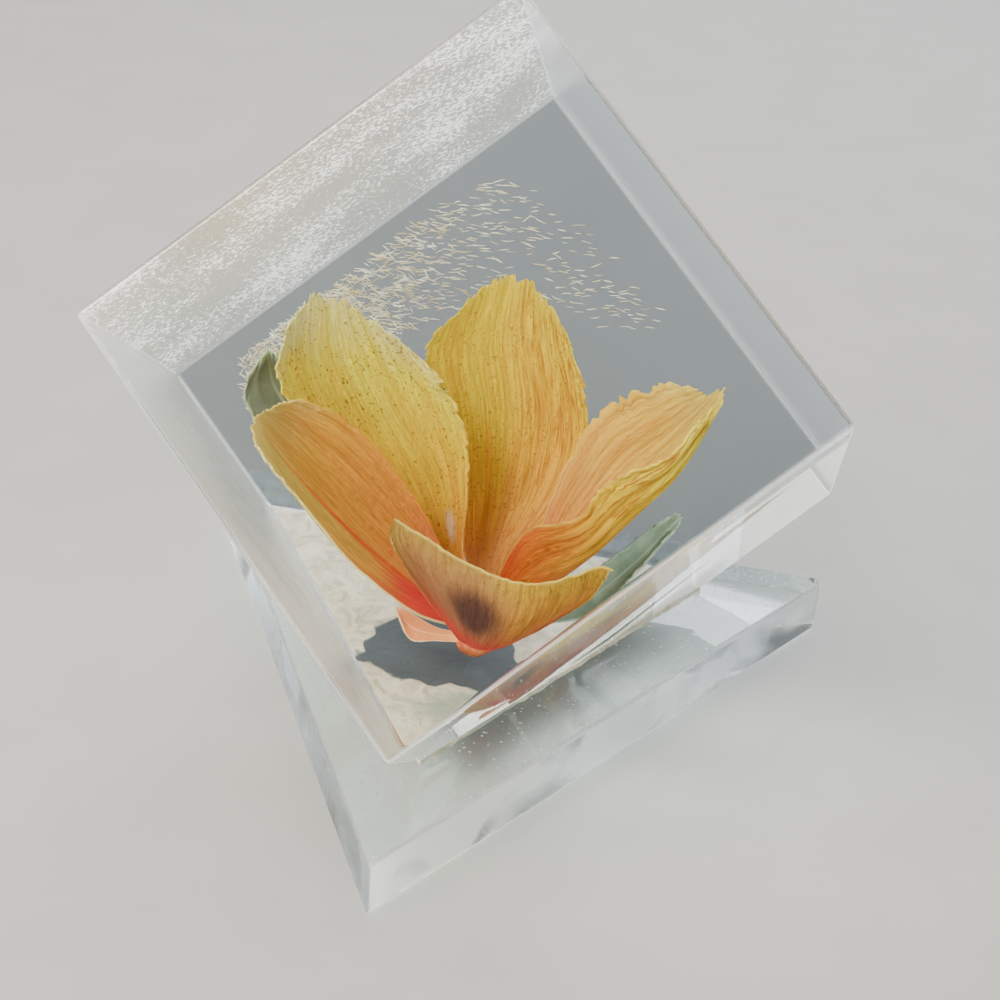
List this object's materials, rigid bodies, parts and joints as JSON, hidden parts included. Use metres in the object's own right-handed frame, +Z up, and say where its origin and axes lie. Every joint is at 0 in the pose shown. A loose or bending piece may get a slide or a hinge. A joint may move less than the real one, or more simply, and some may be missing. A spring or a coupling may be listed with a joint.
{
  "type": "flower paperweight",
  "caption": "Clear acrylic cube standing on a cut-off corner over a triangular clear base plate, with a yellow-orange hibiscus, leaves and fine needles sealed inside.",
  "frame": {"origin": "on the base plate's underside, under the block's upright body diagonal", "axes": "+Z up along the block's body diagonal, -Y towards the block's lower near edge and the front of the flower, +X to the right as seen from the front"},
  "size_m": [0.0991, 0.1148, 0.1037],
  "materials": {
    "clear_acrylic": "polished clear cast acrylic",
    "clear_plate": "polished clear acrylic sheet, lightly scuffed",
    "adhesive": "cured clear adhesive with fine bubbles",
    "petal_pale_yellow": "preserved petal, pale yellow with brown specks",
    "petal_yellow": "preserved petal, strong yellow, pleated",
    "petal_orange": "preserved petal, orange running to red at the throat",
    "petal_outer": "preserved petal seen from outside, bronze with a dark throat spot",
    "leaf_green": "preserved leaf, dull dark green",
    "receptacle": "preserved flower base, orange-red",
    "needles": "fine pale needles set in the acrylic"
  },
  "bodies": {
    "root": {"block_front_half": "clear_acrylic", "block_back_half": "clear_acrylic", "base_plate": "clear_plate", "adhesive_film": "adhesive", "petal_back_left": "petal_pale_yellow", "petal_back_right": "petal_yellow", "petal_right": "petal_orange", "petal_left": "petal_orange", "petal_front": "petal_outer", "leaf_left": "leaf_green", "leaf_right": "leaf_green", "flower_base": "receptacle", "needle_sheet": "needles"}
  },
  "joints": []
}
